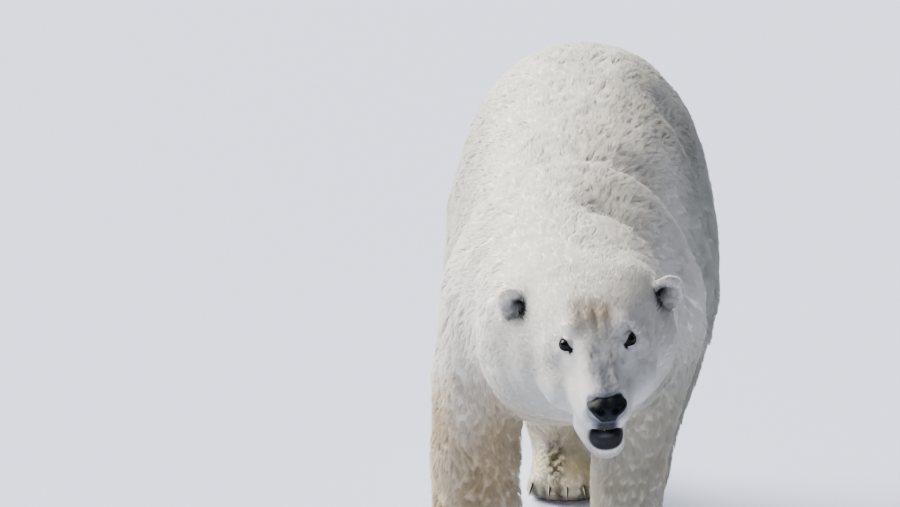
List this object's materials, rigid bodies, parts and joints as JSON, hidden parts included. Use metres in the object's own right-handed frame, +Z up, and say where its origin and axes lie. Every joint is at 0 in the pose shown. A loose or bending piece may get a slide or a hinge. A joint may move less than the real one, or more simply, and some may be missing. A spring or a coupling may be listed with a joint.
{
  "type": "polar bear model",
  "caption": "Life-size still model of an adult polar bear walking with its head low, standing on four flat soles.",
  "frame": {"origin": "on the floor, under the middle of the bear's bounding box", "axes": "-Y to the bear's nose, +X to its own left, +Z up"},
  "size_m": [0.762, 2.3596, 1.375],
  "materials": {
    "coat_body": "matte",
    "coat_face": "matte",
    "coat_legs": "matte",
    "nose_skin": "satin",
    "eye": "gloss",
    "claw_horn": "satin"
  },
  "bodies": {
    "root": {"trunk": "coat_body", "neck": "coat_body", "tail": "coat_body", "head": "coat_face", "lower_jaw": "coat_face", "ear_left": "coat_face", "ear_right": "coat_face", "foreleg_right_upper": "coat_legs", "foreleg_right_lower": "coat_legs", "forepaw_right": "coat_legs", "forepaw_right_claw_1": "claw_horn", "forepaw_right_claw_2": "claw_horn", "forepaw_right_claw_3": "claw_horn", "forepaw_right_claw_4": "claw_horn", "forepaw_right_claw_5": "claw_horn", "foreleg_left_upper": "coat_legs", "foreleg_left_lower": "coat_legs", "forepaw_left": "coat_legs", "forepaw_left_claw_1": "claw_horn", "forepaw_left_claw_2": "claw_horn", "forepaw_left_claw_3": "claw_horn", "forepaw_left_claw_4": "claw_horn", "forepaw_left_claw_5": "claw_horn", "hindleg_right_upper": "coat_legs", "hindleg_right_lower": "coat_legs", "hindpaw_right": "coat_legs", "hindpaw_right_claw_1": "claw_horn", "hindpaw_right_claw_2": "claw_horn", "hindpaw_right_claw_3": "claw_horn", "hindpaw_right_claw_4": "claw_horn", "hindpaw_right_claw_5": "claw_horn", "hindleg_left_upper": "coat_legs", "hindleg_left_lower": "coat_legs", "hindpaw_left": "coat_legs", "hindpaw_left_claw_1": "claw_horn", "hindpaw_left_claw_2": "claw_horn", "hindpaw_left_claw_3": "claw_horn", "hindpaw_left_claw_4": "claw_horn", "hindpaw_left_claw_5": "claw_horn", "nose": "nose_skin", "eye_left": "eye", "eye_right": "eye"}
  },
  "joints": []
}
